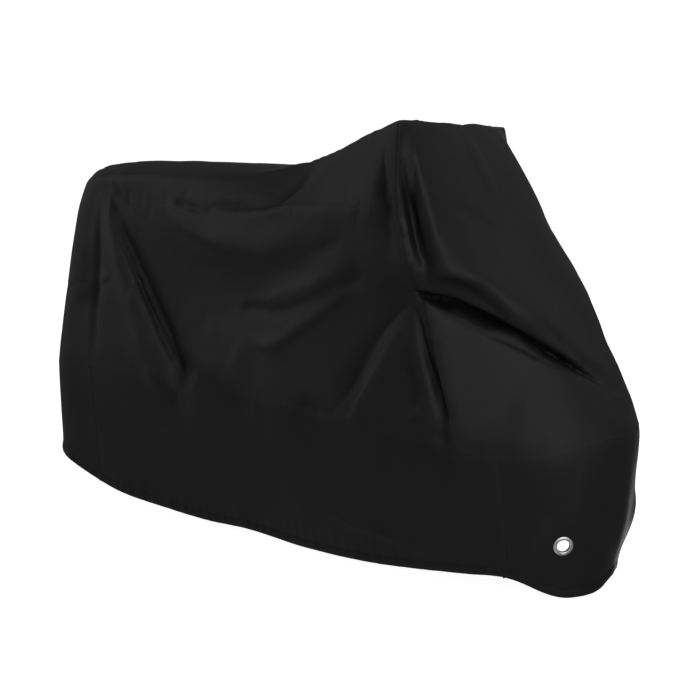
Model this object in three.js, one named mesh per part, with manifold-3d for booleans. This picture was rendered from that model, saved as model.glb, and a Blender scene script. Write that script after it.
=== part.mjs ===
// A motorcycle cover of thin coated cloth, draped as if over the vehicle and hollow inside:
// a long centre panel, two side panels, a skirt of four pieces and two steel eyelets.
// Millimetres, +X to the vehicle's front, +Z up, the lowest point of the hem at height 0.
import * as THREE from "three";
import { mergeVertices } from "three/addons/utils/BufferGeometryUtils.js";
import Module from "manifold-3d";

const wasm = await Module();
wasm.setup();

// Driving dimensions
const CLOTH = 2.5; // thickness of the coated cloth
const GAP = 0.3; // between two pieces that are sewn or fitted together
const RIGHT = -1; // the side that faces -Y
const LEFT = 1;

// An eyelet is an outer half, whose barrel goes through the cloth, closed on a washer behind it.
// The hole in the cloth is wider than the barrel.
const EYELET = { outer: 25, bore: 16, barrel: 1.2, crown: 2.8, shoulder: 4.6, curl: 1.8, lip: 1.3, hole: 21 };
const SHOULDER = [[0.13, 0.55], [0.56, 0.9], [1, 1]]; // parts of its width, and of the crown's height
const WASHER = { outer: 23.5, thickness: 1.6, round: 1 };
const SIDES = 28;
const DRILL = 8 * CLOTH; // the length of the tool that cuts an eyelet's hole
const EYELET_PLACES = [
  { name: "right", side: RIGHT, x: 832, z: 150 },
  { name: "left", side: LEFT, x: 806, z: 152 },
];
const FLAT_REACH = 66; // round an eyelet the cloth is drawn flat this far
const FLAT_END = 115; // and has its own shape from here

// Levels of the sheet from the spine down to the hem. slack is how softly the cloth bends there,
// from 0, a sharp bend, to 1, a round one. rows is the number of faces down to the next level, and
// bunch draws them together at their lower end, or with a minus sign at their upper end.
const LEVELS = [
  { name: "spine", slack: 0.8, rows: 3, bunch: 0 },
  { name: "edge", slack: 0.35, rows: 2, bunch: 0 },
  { name: "seam", slack: 0.6, rows: 7, bunch: 0.5 },
  { name: "waist", slack: 0.7, rows: 6, bunch: -0.35 },
  { name: "band", slack: 0.5, rows: 7, bunch: 0 },
  { name: "hem", slack: 0.6, rows: 0, bunch: 0 },
];

// The right side: a row for each meridian, from the rear centre round to the front centre, with
// [x, y, z] where it crosses each level. columns is the number of faces on to the next meridian,
// bunch draws them together as above, and slack is how softly the cloth above the band bends.
const MERIDIANS = [
  {
    name: "rear centre", columns: 3, bunch: 0, slack: 1,
    spine: [-958, 0, 992], edge: [-992, 0, 954], seam: [-1004, 0, 893],
    waist: [-1038, 0, 640], band: [-1066, 0, 400], hem: [-1062, 0, 122],
  },
  {
    name: "tail corner", columns: 3, bunch: 0, slack: 0.9,
    spine: [-940, 0, 998], edge: [-930, -80, 960], seam: [-951, -95, 897],
    waist: [-996, -118, 640], band: [-1024, -139, 395], hem: [-1036, -117, 118],
  },
  {
    name: "tail side", columns: 5, bunch: 0.4, slack: 1,
    spine: [-895, 0, 1012], edge: [-880, -105, 972], seam: [-870, -120, 905],
    waist: [-860, -145, 655], band: [-835, -176, 415], hem: [-812, -170, 52],
  },
  {
    name: "tail crease", columns: 5, bunch: -0.4, slack: 0.7,
    spine: [-790, 0, 1026], edge: [-785, -113, 984], seam: [-777, -131, 913],
    waist: [-628, -172, 676], band: [-440, -220, 427], hem: [-470, -212, 28],
  },
  {
    name: "rear of seat", columns: 5, bunch: 0, slack: 1,
    spine: [-540, 0, 1036], edge: [-535, -119, 993], seam: [-530, -148, 923],
    waist: [-415, -190, 670], band: [-305, -252, 430], hem: [-320, -226, 26],
  },
  {
    name: "seat", columns: 5, bunch: 0, slack: 1,
    spine: [-310, 0, 1038], edge: [-300, -120, 996], seam: [-290, -168, 933],
    waist: [-200, -208, 678], band: [-120, -288, 429], hem: [-130, -246, 36],
  },
  {
    name: "front of seat", columns: 6, bunch: 0, slack: 0.7,
    spine: [-85, 0, 1042], edge: [-80, -40, 1046], seam: [0, -206, 946],
    waist: [60, -244, 698], band: [100, -322, 426], hem: [90, -268, 30],
  },
  {
    name: "behind handlebar", columns: 7, bunch: 0.1, slack: 0.9,
    spine: [90, 0, 1062], edge: [180, -172, 1109], seam: [230, -256, 957],
    waist: [270, -272, 722], band: [325, -336, 408], hem: [330, -282, 38],
  },
  {
    name: "handlebar end", columns: 6, bunch: 0, slack: 0.25,
    spine: [270, 0, 1115], edge: [445, -330, 1176], seam: [440, -334, 970],
    waist: [484, -308, 751], band: [580, -324, 392], hem: [592, -262, 56],
  },
  {
    name: "fork", columns: 5, bunch: 0, slack: 0.8,
    spine: [335, 0, 1130], edge: [452, -258, 1172], seam: [515, -284, 945],
    waist: [604, -248, 690], band: [700, -280, 371], hem: [698, -228, 58],
  },
  {
    name: "wheel side", columns: 5, bunch: 0, slack: 0.9,
    spine: [368, 0, 1136], edge: [440, -170, 1165], seam: [535, -200, 935],
    waist: [722, -174, 634], band: [838, -194, 388], hem: [830, -150, 12],
  },
  {
    name: "nose corner", columns: 3, bunch: 0, slack: 0.9,
    spine: [388, 0, 1140], edge: [425, -85, 1160], seam: [540, -98, 932],
    waist: [815, -90, 566], band: [896, -98, 418], hem: [872, -80, 18],
  },
  {
    name: "front centre", columns: 0, bunch: 0, slack: 1,
    spine: [400, 0, 1148], edge: [405, 0, 1154], seam: [528, 0, 935],
    waist: [862, 0, 522], band: [920, 0, 420], hem: [876, 0, 46],
  },
];

// The left side mirrors the right, but for the handlebar, which is turned to the left.
const LEFT_CHANGES = {
  "behind handlebar": { edge: [140, 190, 1098], seam: [205, 255, 955], waist: [240, 270, 715] },
  "handlebar end": {
    edge: [320, 332, 1143], seam: [356, 326, 950],
    waist: [434, 304, 720], band: [560, 312, 400], hem: [590, 258, 48],
  },
  fork: {
    edge: [345, 255, 1144], seam: [478, 256, 956],
    waist: [608, 228, 700], band: [705, 265, 385], hem: [694, 212, 44],
  },
  "wheel side": {
    edge: [368, 170, 1147], seam: [514, 180, 943],
    waist: [728, 138, 670], band: [831, 177, 399], hem: [812, 134, 40],
  },
  "nose corner": {
    edge: [388, 85, 1152], seam: [526, 88, 940],
    waist: [824, 72, 585], band: [895, 86, 424], hem: [846, 70, 46],
  },
};

// Folds, a row for each, along a path of [x, z] places seen from that side. A trough is as deep as
// depth and dies out over reach; with a negative depth it is a ridge. A step stands proud on its left
// and sinks on its right, over reach, with a wall between. Left is that of a walker on the sheet.
// depth and wall have a number for each place of the path.
const FOLDS = [
  {
    name: "deep pleat below the handlebar", side: RIGHT, form: "step",
    path: [[484, 751], [560, 716], [715, 634], [864, 520]],
    depth: [52, 104, 66, 5], wall: [70, 80, 54, 14], reach: [150, 150],
  },
  {
    name: "fold under the handlebar end", side: RIGHT, form: "step",
    path: [[488, 725], [580, 395]], depth: [16, 34], wall: [20, 28], reach: [110, 80],
  },
  {
    name: "fold back from the handlebar", side: RIGHT, form: "step",
    path: [[430, 735], [350, 590], [285, 455]], depth: [8, 24, 26], wall: [22, 28, 30], reach: [50, 100],
  },
  {
    name: "pleat behind the handlebar end", side: RIGHT, form: "trough",
    path: [[380, 1110], [388, 990], [391, 860]], depth: [4, 30, 22], reach: [26, 36],
  },
  {
    name: "pleat before the handlebar end", side: RIGHT, form: "trough",
    path: [[449, 1084], [470, 960], [508, 820]], depth: [4, 26, 30], reach: [20, 22],
  },
  {
    name: "crease down from the tail", side: RIGHT, form: "step",
    path: [[-440, 427], [-628, 676], [-770, 900]], depth: [50, 34, 8], wall: [34, 24, 12], reach: [150, 110],
  },
  {
    name: "hollow at the tail", side: RIGHT, form: "trough",
    path: [[-850, 905], [-860, 600]], depth: [10, 14], reach: [34, 34],
  },
  {
    name: "upper swag", side: RIGHT, form: "trough",
    path: [[-456, 889], [-300, 838], [-151, 827], [20, 862], [161, 925]],
    depth: [-4, -11, -14, -12, -4], reach: [32, 32],
  },
  {
    name: "middle swag", side: RIGHT, form: "trough",
    path: [[-60, 699], [90, 740], [215, 815]], depth: [-8, -13, -8], reach: [30, 30],
  },
  {
    name: "lower swag", side: RIGHT, form: "trough",
    path: [[-278, 554], [-150, 546], [-44, 562], [71, 648], [210, 740]],
    depth: [-6, -12, -15, -13, -6], reach: [34, 34],
  },
  {
    name: "hollow before the seat", side: RIGHT, form: "trough",
    path: [[-300, 952], [-160, 968], [-30, 1000]], depth: [6, 16, 22], reach: [34, 30],
  },
  {
    name: "fullness over the hem at the nose", side: LEFT, form: "trough",
    path: [[896, 180], [850, 170], [760, 175]], depth: [-8, -18, -8], reach: [90, 70],
  },
  {
    name: "left pleat below the handlebar", side: LEFT, form: "step",
    path: [[818, 600], [728, 668], [602, 700], [430, 720]],
    depth: [4, 24, 52, 38], wall: [16, 36, 50, 46], reach: [110, 150],
  },
  {
    name: "left crease down from the tail", side: LEFT, form: "step",
    path: [[-770, 900], [-628, 676], [-440, 427]], depth: [8, 30, 42], wall: [12, 24, 34], reach: [150, 110],
  },
  {
    name: "left upper swag", side: LEFT, form: "trough",
    path: [[-430, 870], [-180, 800], [140, 880]], depth: [-5, -14, -6], reach: [38, 38],
  },
  {
    name: "left lower swag", side: LEFT, form: "trough",
    path: [[-330, 640], [-40, 570], [250, 690]], depth: [-6, -15, -6], reach: [40, 40],
  },
];
const LIFT = 70; // a fold moves no part of the sheet that lies further off than this, over or under it

// Rows and columns of the whole sheet. Column 0 is the rear centre, halfway round is the front one.
const countUp = (list, name, column) => {
  const index = name ? list.findIndex((item) => item.name === name) : list.length;
  return list.slice(0, index).reduce((sum, item) => sum + item[column], 0);
};
const ROWS = countUp(LEVELS, null, "rows");
const HALF = countUp(MERIDIANS, null, "columns");
const ROUND = 2 * HALF;
const SEAM_ROW = countUp(LEVELS, "seam", "rows");
const BAND_ROW = countUp(LEVELS, "band", "rows");
const TAIL_SEAM = countUp(MERIDIANS, "tail crease", "columns");
const FRONT_SEAM = countUp(MERIDIANS, "handlebar end", "columns");
const SKIRT_REAR_SEAM = countUp(MERIDIANS, "tail side", "columns");
const SKIRT_FRONT_SEAM = countUp(MERIDIANS, "fork", "columns");
const BAND_LEVEL = LEVELS.findIndex((level) => level.name === "band");

// Draws even steps from 0 to 1 together at their end, or with a negative bunch at their start.
function bunched(even, bunch) {
  return bunch < 0 ? even ** (1 - bunch) : 1 - (1 - even) ** (1 + bunch);
}

// A point between start and end on a curve that goes on smoothly from before and to after.
function curvePoint(before, start, end, after, slackStart, slackEnd, t) {
  const length = start.distanceTo(end);
  const tangent = (a, b, c, slack) => {
    const back = Math.max(a.distanceTo(b), 1);
    const ahead = Math.max(b.distanceTo(c), 1);
    const out = b.clone().sub(a).multiplyScalar(ahead / back);
    out.add(c.clone().sub(b).multiplyScalar(back / ahead));
    return out.multiplyScalar((slack * length) / (back + ahead));
  };
  const t2 = t * t;
  const t3 = t2 * t;
  const out = start.clone().multiplyScalar(2 * t3 - 3 * t2 + 1);
  out.addScaledVector(end, 3 * t2 - 2 * t3);
  out.addScaledVector(tangent(before, start, end, slackStart), t3 - 2 * t2 + t);
  out.addScaledVector(tangent(start, end, after, slackEnd), t3 - t2);
  return out;
}

// The control points of one side, a list of levels for each meridian.
function controlPoints(side) {
  return MERIDIANS.map((meridian) => {
    const changes = side === LEFT ? LEFT_CHANGES[meridian.name] : {};
    return LEVELS.map(({ name }) => {
      const [x, y, z] = { ...meridian, ...changes }[name];
      return new THREE.Vector3(x, side * Math.abs(y), z);
    });
  });
}

// The level lines of one side: for each column, a point on each level.
function levelLines(side) {
  const near = controlPoints(side);
  const far = controlPoints(-side);
  const last = MERIDIANS.length - 1;
  const pointsAt = (index) => {
    if (index < 0) return far[-index];
    if (index > last) return far[2 * last - index];
    return near[index];
  };
  const slackAt = (index, level) => (level < BAND_LEVEL ? MERIDIANS[index].slack : 1);
  const columns = [];
  MERIDIANS.forEach((meridian, index) => {
    const four = [index - 1, index, index + 1, index + 2].map(pointsAt);
    for (let step = 0; step < meridian.columns; step += 1) {
      const t = bunched(step / meridian.columns, meridian.bunch);
      const line = LEVELS.map((_, level) => {
        const points = four.map((list) => list[level]);
        const slacks = [slackAt(index, level), slackAt(index + 1, level)];
        return curvePoint(...points, ...slacks, t);
      });
      columns.push(line);
    }
  });
  columns.push(near[last].map((point) => point.clone()));
  return columns;
}

// The points of one meridian from the spine to the hem, going on smoothly over the spine.
function meridianPoints(near, far) {
  const points = [];
  LEVELS.slice(0, -1).forEach((level, index) => {
    const start = near[index];
    const end = near[index + 1];
    const before = index ? near[index - 1] : far[1];
    const after = near[index + 2] ?? end.clone().multiplyScalar(2).sub(start);
    const slacks = [level.slack, LEVELS[index + 1].slack];
    for (let step = 0; step < level.rows; step += 1) {
      const t = bunched(step / level.rows, level.bunch);
      points.push(curvePoint(before, start, end, after, ...slacks, t));
    }
  });
  points.push(near.at(-1).clone());
  return points;
}

// The draped sheet before its folds: sheet[column][row] is a point, round the cover and back.
function drapedSheet() {
  const right = levelLines(RIGHT);
  const left = levelLines(LEFT);
  const sheet = right.map((line, column) => meridianPoints(line, left[column]));
  for (let column = HALF - 1; column > 0; column -= 1) {
    sheet.push(meridianPoints(left[column], right[column]));
  }
  return sheet;
}

// The corners of one face of the sheet, counter-clockwise from outside.
function faceCorners(column, row) {
  const next = (column + 1) % ROUND;
  return [[column, row], [column, row + 1], [next, row + 1], [next, row]];
}

// The normal at each point of a sheet, from the faces that meet there.
function sheetNormals(sheet) {
  const normals = sheet.map((points) => points.map(() => new THREE.Vector3()));
  for (let column = 0; column < ROUND; column += 1) {
    for (let row = 0; row < ROWS; row += 1) {
      const corners = faceCorners(column, row);
      const [a, b, c, d] = corners.map(([i, j]) => sheet[i][j]);
      const face = c.clone().sub(a).cross(d.clone().sub(b));
      corners.forEach(([i, j]) => normals[i][j].add(face));
    }
  }
  for (let column = 1; column < HALF; column += 1) {
    normals[ROUND - column][0] = normals[column][0].add(normals[ROUND - column][0]);
  }
  new Set(normals.flat()).forEach((normal) => normal.normalize());
  return normals;
}

// Where a point lies by a fold: how far to its left, past its end and off its plane, and what is
// nearest on its path.
function placeByFold(places, point, normal) {
  let best = null;
  places.slice(0, -1).forEach((from, index) => {
    const along = places[index + 1].clone().sub(from);
    const offset = point.clone().sub(from);
    const t = THREE.MathUtils.clamp(offset.dot(along) / along.lengthSq(), 0, 1);
    const away = offset.addScaledVector(along, -t);
    if (best && away.length() >= best.distance) return;
    const lift = away.dot(normal);
    const distance = away.length();
    away.addScaledVector(normal, -lift);
    const leftward = away.dot(normal.clone().cross(along).normalize());
    const atEnd = index + t === 0 || index + t === places.length - 1;
    const past = atEnd ? Math.sqrt(Math.max(away.lengthSq() - leftward ** 2, 0)) : 0;
    const across = atEnd ? leftward : Math.sign(leftward) * away.length();
    best = { distance, across, past, lift, index, t };
  });
  return best;
}

// How far one fold moves a point of the sheet along its normal.
function foldShift(fold, places, point, normal) {
  const { across, past, lift, index, t } = placeByFold(places, point, normal);
  const between = (list) => THREE.MathUtils.lerp(list[index], list[index + 1], t);
  const depth = between(fold.depth);
  const [left, right] = fold.reach;
  const near = Math.exp(-((lift / LIFT) ** 2));
  if (fold.form === "trough") {
    const reach = across > 0 ? left : right;
    return -depth * near * Math.exp(-((across / reach) ** 2) - (past / reach) ** 2);
  }
  const wall = between(fold.wall);
  const shown = depth * near * Math.exp(-((past / wall) ** 2));
  if (across <= 0) return -0.5 * shown * Math.exp(across / right);
  if (across < wall) return shown * (across / wall - 0.5);
  return 0.5 * shown * Math.exp((wall - across) / left);
}

// The column and row of the sheet's point that lies nearest to a place seen from one side.
function nearestOnSide(sheet, side, x, z) {
  const away = (point) => (side * point.y < 0 ? Infinity : Math.hypot(point.x - x, point.z - z));
  let best = [0, 0];
  sheet.forEach((points, column) => {
    points.forEach((point, row) => {
      if (away(point) < away(sheet[best[0]][best[1]])) best = [column, row];
    });
  });
  return best;
}

// Sinks and raises the sheet along its folds.
function addFolds(sheet) {
  const normals = sheetNormals(sheet);
  const placeOn = (side, [x, z]) => {
    const [column, row] = nearestOnSide(sheet, side, x, z);
    return new THREE.Vector3(x, sheet[column][row].y, z);
  };
  const folds = FOLDS.map((fold) => {
    return { fold, places: fold.path.map((place) => placeOn(fold.side, place)) };
  });
  sheet.forEach((points, column) => {
    points.forEach((point, row) => {
      const normal = normals[column][row];
      const shift = folds.reduce((sum, { fold, places }) => {
        return sum + (fold.side * point.y < 0 ? 0 : foldShift(fold, places, point, normal));
      }, 0);
      point.addScaledVector(normal, shift);
    });
  });
}

// The centre of an eyelet on the sheet and the way that it faces.
function placeEyelet(sheet, { name, side, x, z }) {
  const [column, row] = nearestOnSide(sheet, side, x, z);
  const near = sheet[column][row];
  const normal = sheetNormals(sheet)[column][row];
  const y = near.y - (normal.x * (x - near.x) + normal.z * (z - near.z)) / normal.y;
  return { name, side, normal, centre: new THREE.Vector3(x, y, z) };
}

// Draws the sheet flat round an eyelet.
function flattenRound(sheet, { centre, normal }) {
  sheet.flat().forEach((point) => {
    const offset = point.clone().sub(centre);
    const far = THREE.MathUtils.smoothstep(offset.length(), FLAT_REACH, FLAT_END);
    point.addScaledVector(normal, -offset.dot(normal) * (1 - far));
  });
}

const sheet = drapedSheet();
addFolds(sheet);
const eyelets = EYELET_PLACES.map((place) => placeEyelet(sheet, place));
eyelets.forEach((eyelet) => flattenRound(sheet, eyelet));
const normals = sheetNormals(sheet);
eyelets.forEach(({ centre, normal }) => {
  sheet.forEach((points, column) => {
    points.forEach((point, row) => {
      if (point.distanceTo(centre) < FLAT_REACH) normals[column][row] = normal;
    });
  });
});

// A piece of cloth from the faces of the sheet that belong to it. An inner layer and a rim close it,
// and the rim is drawn in by half a gap.
function clothPiece(belongs) {
  const corners = [];
  const indexes = new Map();
  const indexOf = ([column, row]) => {
    const shared = row ? column : Math.min(column, (ROUND - column) % ROUND);
    const order = shared * (ROWS + 1) + row;
    if (!indexes.has(order)) {
      indexes.set(order, corners.length);
      const point = sheet[column][row].clone();
      corners.push({ point, normal: normals[column][row], inward: new THREE.Vector3(), order });
    }
    return indexes.get(order);
  };
  const faces = [];
  for (let column = 0; column < ROUND; column += 1) {
    for (let row = 0; row < ROWS; row += 1) {
      if (belongs(column, row)) faces.push(faceCorners(column, row).map(indexOf));
    }
  }
  const rim = new Map();
  faces.forEach((face) => {
    const centre = new THREE.Vector3();
    face.forEach((index) => centre.addScaledVector(corners[index].point, 1 / face.length));
    face.forEach((index, turn) => {
      const next = face[(turn + 1) % face.length];
      corners[index].inward.add(centre).sub(corners[index].point);
      if (!rim.delete(`${next} ${index}`)) rim.set(`${index} ${next}`, [index, next]);
    });
  });
  drawInRim(corners, [...rim.values()]);
  const count = corners.length;
  const triangles = [];
  faces.forEach(([a, b, c, d]) => {
    const reach = (i, j) => corners[i].point.distanceTo(corners[j].point);
    const halves = reach(a, c) < reach(b, d) ? [[a, b, c], [a, c, d]] : [[a, b, d], [b, c, d]];
    halves.forEach(([i, j, k]) => triangles.push(i, j, k, i + count, k + count, j + count));
  });
  // The rim of a twisted edge is halved the same way on both of the pieces that meet there.
  rim.forEach(([from, to]) => {
    if (corners[from].order < corners[to].order) {
      triangles.push(to, from, to + count, from, from + count, to + count);
    } else {
      triangles.push(to, from, from + count, to, from + count, to + count);
    }
  });
  const inner = corners.map(({ point, normal }) => point.clone().addScaledVector(normal, -CLOTH));
  const points = [...corners.map(({ point }) => point), ...inner];
  const geometry = new THREE.BufferGeometry().setFromPoints(points);
  geometry.setIndex(triangles);
  return geometry;
}

// Moves each corner on the rim of a piece into the piece, square to the rim, by half a gap.
function drawInRim(corners, rimEdges) {
  const ahead = new Map(rimEdges);
  const behind = new Map(rimEdges.map(([from, to]) => [to, from]));
  const moves = [...ahead.keys()].map((index) => {
    const { inward, normal } = corners[index];
    const before = corners[behind.get(index)].point;
    const tangent = corners[ahead.get(index)].point.clone().sub(before).normalize();
    const move = inward.clone().addScaledVector(tangent, -inward.dot(tangent));
    move.addScaledVector(normal, -move.dot(normal));
    return [index, move.setLength(GAP / 2)];
  });
  moves.forEach(([index, move]) => corners[index].point.add(move));
}

// A solid for cutting, and the geometry of one.
function solidOf(geometry) {
  const bare = geometry.clone();
  bare.deleteAttribute("normal");
  bare.deleteAttribute("uv");
  const merged = mergeVertices(bare);
  const vertProperties = merged.attributes.position.array;
  const triVerts = new Uint32Array(merged.index.array);
  return new wasm.Manifold(new wasm.Mesh({ numProp: 3, vertProperties, triVerts }));
}
function geometryOf(solid) {
  const { vertProperties, triVerts } = solid.getMesh();
  const geometry = new THREE.BufferGeometry();
  geometry.setAttribute("position", new THREE.BufferAttribute(vertProperties, 3));
  geometry.setIndex(new THREE.BufferAttribute(triVerts, 1));
  return geometry;
}

const AXIS = new THREE.Vector3(0, 1, 0); // a lathe's axis, which points out of the cloth here
const turnTo = (normal) => new THREE.Quaternion().setFromUnitVectors(AXIS, normal);

// The hole that an eyelet's barrel goes through.
function holeFor({ centre, normal }) {
  const drill = new THREE.CylinderGeometry(EYELET.hole, EYELET.hole, DRILL, SIDES);
  drill.applyQuaternion(turnTo(normal));
  drill.translate(...centre);
  return solidOf(drill);
}

const ring = (profile) => {
  const closed = [...profile, profile[0]].map(([radius, height]) => new THREE.Vector2(radius, height));
  return new THREE.LatheGeometry(closed, SIDES);
};

// The outer half of an eyelet: a domed flange, the barrel, and the lip that is rolled on the washer.
function eyeletGeometry() {
  const { outer, bore, barrel, crown, shoulder, curl, lip } = EYELET;
  const wall = bore + barrel;
  const lipFront = -(CLOTH + WASHER.thickness + 2 * GAP);
  return ring([
    [bore, lipFront - lip], [wall + curl, lipFront - lip], [wall + curl, lipFront], [wall, lipFront],
    [wall, GAP], [outer, GAP],
    ...SHOULDER.map(([across, up]) => [outer - across * shoulder, up * crown]),
    [wall, crown], [bore, SHOULDER[0][1] * crown],
  ]);
}

// The washer behind the cloth, with a rounded back.
function washerGeometry() {
  const { outer, thickness, round } = WASHER;
  const inner = EYELET.bore + EYELET.barrel + GAP;
  const front = -(CLOTH + GAP);
  const back = front - thickness;
  return ring([[inner, back], [outer - round, back], [outer, back + round], [outer, front], [inner, front]]);
}

const coated = new THREE.MeshStandardMaterial({ color: 0x151517, roughness: 0.62, metalness: 0 });
const steel = new THREE.MeshStandardMaterial({ color: 0xb9bcc0, roughness: 0.28, metalness: 1 });

// Which piece a face of the sheet belongs to.
function pieceOf(column, row) {
  const right = column < HALF;
  const round = right ? column : ROUND - 1 - column;
  const onSide = round >= TAIL_SEAM && round < FRONT_SEAM && row >= SEAM_ROW;
  if (row >= BAND_ROW) {
    if (round < SKIRT_REAR_SEAM) return "skirt_rear";
    if (round >= SKIRT_FRONT_SEAM) return "skirt_front";
    return right ? "skirt_right" : "skirt_left";
  }
  if (onSide) return right ? "side_panel_right" : "side_panel_left";
  return "centre_panel";
}

const cover = new THREE.Group();
const CLOTH_PIECES = [
  "centre_panel", "side_panel_right", "side_panel_left",
  "skirt_rear", "skirt_right", "skirt_left", "skirt_front",
];
CLOTH_PIECES.forEach((name) => {
  let geometry = clothPiece((column, row) => pieceOf(column, row) === name);
  if (name === "skirt_front") {
    const holes = eyelets.map(holeFor);
    geometry = geometryOf(holes.reduce((solid, hole) => solid.subtract(hole), solidOf(geometry)));
  }
  const mesh = new THREE.Mesh(geometry, coated);
  mesh.name = name;
  cover.add(mesh);
});
eyelets.forEach(({ name, centre, normal }) => {
  const halves = { [`eyelet_${name}`]: eyeletGeometry(), [`washer_${name}`]: washerGeometry() };
  Object.entries(halves).forEach(([meshName, geometry]) => {
    const mesh = new THREE.Mesh(geometry, steel);
    mesh.name = meshName;
    mesh.position.copy(centre);
    mesh.quaternion.copy(turnTo(normal));
    cover.add(mesh);
  });
});

// The origin is below the middle of the cover, level with the lowest point of the hem.
const box = new THREE.Box3().setFromObject(cover, true);
const middle = box.getCenter(new THREE.Vector3());
cover.position.set(-middle.x, -middle.y, -box.min.z);

const part = new THREE.Group();
part.add(cover);
export default part;
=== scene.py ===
"""Looks for a draped motorcycle cover: thin coated cloth with its folds, seams, stitches and gathered
hem, and steel eyelets. Metres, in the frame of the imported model: +X to the vehicle's front, +Z up."""
import math

import bmesh
import bpy
import numpy as np
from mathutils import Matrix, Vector, noise
from mathutils.kdtree import KDTree


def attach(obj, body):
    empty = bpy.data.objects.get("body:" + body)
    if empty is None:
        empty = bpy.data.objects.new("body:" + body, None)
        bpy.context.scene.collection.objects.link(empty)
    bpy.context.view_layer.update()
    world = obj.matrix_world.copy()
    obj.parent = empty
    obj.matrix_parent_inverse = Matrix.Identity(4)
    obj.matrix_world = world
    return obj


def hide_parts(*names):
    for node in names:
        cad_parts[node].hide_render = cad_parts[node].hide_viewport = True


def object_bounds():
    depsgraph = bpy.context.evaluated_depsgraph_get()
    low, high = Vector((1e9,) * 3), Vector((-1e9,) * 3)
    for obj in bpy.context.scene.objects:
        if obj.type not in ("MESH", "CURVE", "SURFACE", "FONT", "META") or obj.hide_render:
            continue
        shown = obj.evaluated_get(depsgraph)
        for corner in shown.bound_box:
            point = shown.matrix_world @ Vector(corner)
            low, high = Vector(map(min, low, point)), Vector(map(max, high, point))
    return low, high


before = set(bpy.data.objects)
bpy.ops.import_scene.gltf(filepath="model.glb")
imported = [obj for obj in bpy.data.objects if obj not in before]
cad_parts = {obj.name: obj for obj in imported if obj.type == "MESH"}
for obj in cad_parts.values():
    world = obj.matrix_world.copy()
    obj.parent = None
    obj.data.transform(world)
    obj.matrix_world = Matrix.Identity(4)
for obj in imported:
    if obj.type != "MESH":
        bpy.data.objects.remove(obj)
cad_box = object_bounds()
MIDDLE = (cad_box[0] + cad_box[1]) / 2

# Sizes
CLOTH = 0.0016  # thickness of the coated cloth
SOLID = 0.0025  # thickness of the solids' cloth: only the faces of their rims have edges this long
RIM_PLAY = SOLID / 25  # how far from it the length of such an edge may be
SEAM_GAP = 0.0015  # the solids' pieces are less than this apart
SAME_POINT = 1e-5  # points of a solid that are nearer than this are one
HOLE = {"radius": 0.0211, "reach": 0.05}  # the walls of the eyelets' holes are within these of their middles
JOIN_ANGLE = 60  # degrees between two triangles that may still be joined to one face
SMOOTH = 3  # levels of subdivision
FIT = {"rounds": 4, "share": 0.8}  # how often the smooth skin is drawn back to its points, and how far
FAIR = {"most": 0.004, "rounds": 12}  # how far the solids' points are moved at most, to even them out
FAIR_TOP = 1.04  # no point above this height is moved, so that the edge over the bars stays straight
BAR_EDGE = {"height": 1.12, "angle": 50, "crease": 0.5}  # the sharp edge over the bars
BAR_LIFT = {  # what the cloth over the bars is raised by, from none at the lower height to all of it
    "heights": (1.04, 1.12), "y": (-0.33, -0.20, -0.09, 0.06, 0.14, 0.25, 0.33),
    "lift": (0, 0.001, 0.003, 0.0055, 0.0025, -0.001, -0.0045),
}
LAP = 0.004  # how far a piece laps over its lower neighbour at a seam
LAP_RISE = 0.0006  # and how far it stands out there
LAP_SINK = LAP_RISE / 2  # how far the lower neighbour is drawn in
MOST = 190000  # triangles in a piece: what its outer side leaves of them is its inner side
SHARP_ANGLE = 60  # degrees between faces that are not shaded as one, on the cloth and the stitches
SEED = 7

# The cloth pieces, from the lowest to the highest at a seam. flat is the width and length that each
# was cut from, and area what was left of it.
CUTS = {
    "skirt_rear": {"flat": (0.41, 0.75), "area": 0.216},
    "skirt_right": {"flat": (0.42, 1.62), "area": 0.595},
    "skirt_left": {"flat": (0.42, 1.62), "area": 0.600},
    "skirt_front": {"flat": (0.42, 0.75), "area": 0.253},
    "side_panel_right": {"flat": (0.60, 1.30), "area": 0.622},
    "side_panel_left": {"flat": (0.57, 1.24), "area": 0.577},
    "centre_panel": {"flat": (1.40, 2.94), "area": 2.040},
}

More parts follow.
